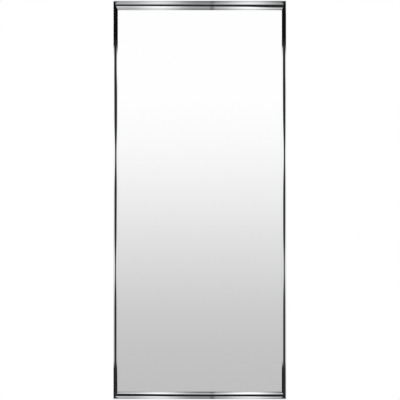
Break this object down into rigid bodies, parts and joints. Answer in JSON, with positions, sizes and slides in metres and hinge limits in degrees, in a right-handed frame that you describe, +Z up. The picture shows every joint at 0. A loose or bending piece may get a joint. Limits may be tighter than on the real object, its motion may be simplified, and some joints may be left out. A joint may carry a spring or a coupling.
{
  "type": "framed wall mirror",
  "caption": "Tall rectangular wall mirror in a slim mitred frame of crowned polished metal, hung on a hooked wall bar that it lifts off.",
  "frame": {"origin": "on the wall plane, in the middle of the wall bar's row of fixing holes", "axes": "+Z up, along the mirror's height; +Y into the wall, so the mirror faces -Y; +X to the right of someone who looks into the mirror"},
  "size_m": [0.65, 0.03, 1.5],
  "materials": {
    "polished_frame": "polished",
    "mirror_glass": "polished",
    "mill_aluminium": "satin",
    "key_metal": "satin",
    "screw_steel": "satin",
    "hardboard": "matte",
    "cardboard": "matte",
    "black_rubber": "matte"
  },
  "bodies": {
    "wall_bar": {"wall_bar": "mill_aluminium"},
    "mirror": {"top_rail": "polished_frame", "bottom_rail": "polished_frame", "left_stile": "polished_frame", "right_stile": "polished_frame", "top_left_key": "key_metal", "top_right_key": "key_metal", "bottom_left_key": "key_metal", "bottom_right_key": "key_metal", "top_left_set_screws": "screw_steel", "top_right_set_screws": "screw_steel", "bottom_left_set_screws": "screw_steel", "bottom_right_set_screws": "screw_steel", "mirror_glass": "mirror_glass", "cardboard_sheet": "cardboard", "back_panel": "hardboard", "setting_blocks": "black_rubber", "top_gasket": "black_rubber", "bottom_gasket": "black_rubber", "left_gasket": "black_rubber", "right_gasket": "black_rubber", "hanger_bar": "mill_aluminium", "hanger_screws": "screw_steel", "left_bumper": "black_rubber", "right_bumper": "black_rubber"}
  },
  "joints": [
    {"name": "lift_off", "type": "slide", "parent": "wall_bar", "child": "mirror", "axis": [0, 0, 1], "range_m": [0, 0.012]}
  ]
}
